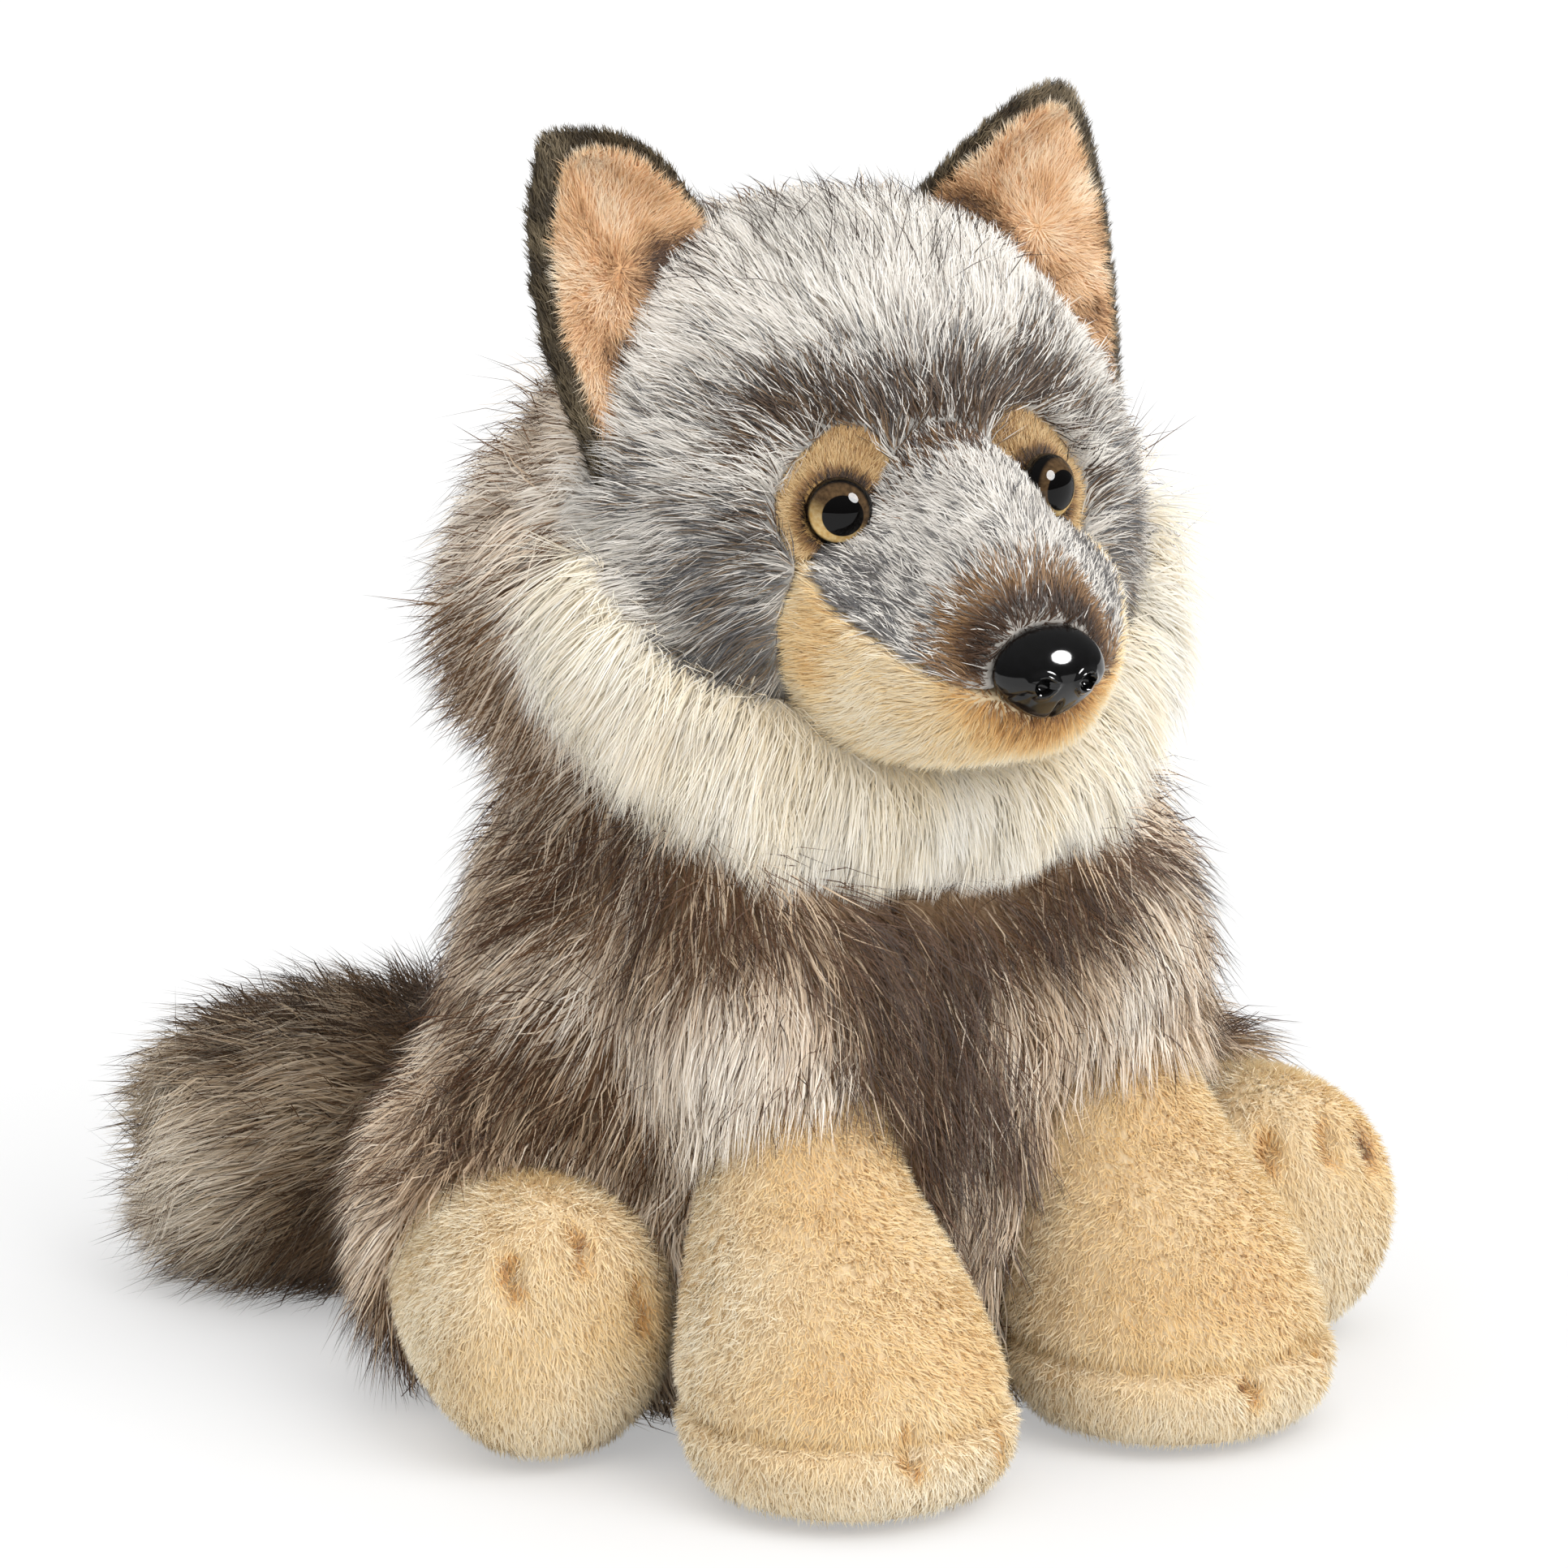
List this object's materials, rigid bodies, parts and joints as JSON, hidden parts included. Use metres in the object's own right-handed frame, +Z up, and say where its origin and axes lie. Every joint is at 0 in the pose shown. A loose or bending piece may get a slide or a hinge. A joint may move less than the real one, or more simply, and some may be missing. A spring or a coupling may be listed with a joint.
{
  "type": "plush wolf",
  "caption": "Seated plush wolf with long grey fur, a cream ruff, beige muzzle and paws, safety eyes, a moulded nose and a bushy tail curled to its side.",
  "frame": {"origin": "on the floor, on the flat underside of the body, under the front of the seat and on the middle plane", "axes": "+Z up from the floor through the head, -Y the way the wolf faces, +X to the wolf's left"},
  "size_m": [0.2394, 0.26, 0.2861],
  "materials": {
    "taupe_fur": "long faux fur, taupe with dark guard hairs",
    "mane_fur": "long faux fur, taupe with dark tips",
    "head_fur": "medium faux fur, silver grey with a slate brow",
    "ruff_fur": "long cream faux fur",
    "tail_fur": "long faux fur, grey brown with a pale tip",
    "bridge_fur": "medium faux fur, silver grey, brown towards the nose",
    "muzzle_fur": "short beige pile",
    "patch_fur": "short tan pile",
    "paw_fur": "short beige pile",
    "ear_fur": "short dark olive brown pile",
    "lining_fur": "short orange tan pile",
    "nose_plastic": "glossy black moulded plastic",
    "eye_plastic": "glossy clear acrylic over an amber iris and a black pupil",
    "post_plastic": "black moulded plastic",
    "washer_plastic": "natural white moulded plastic"
  },
  "bodies": {
    "root": {"body": "taupe_fur", "mane": "mane_fur", "head": "head_fur", "ruff": "ruff_fur", "tail": "tail_fur", "muzzle_bridge": "bridge_fur", "lower_muzzle": "muzzle_fur", "nose": "nose_plastic", "nose_washer": "washer_plastic", "eye_patch_left": "patch_fur", "eye_patch_right": "patch_fur", "eye_dome_left": "eye_plastic", "eye_dome_right": "eye_plastic", "eye_post_left": "post_plastic", "eye_post_right": "post_plastic", "eye_washer_left": "washer_plastic", "eye_washer_right": "washer_plastic", "ear_back_left": "ear_fur", "ear_back_right": "ear_fur", "ear_lining_left": "lining_fur", "ear_lining_right": "lining_fur", "front_leg_left": "taupe_fur", "front_leg_right": "taupe_fur", "front_paw_left": "paw_fur", "front_paw_right": "paw_fur", "hind_leg_left": "taupe_fur", "hind_leg_right": "taupe_fur", "hind_paw_left": "paw_fur", "hind_paw_right": "paw_fur"}
  },
  "joints": []
}
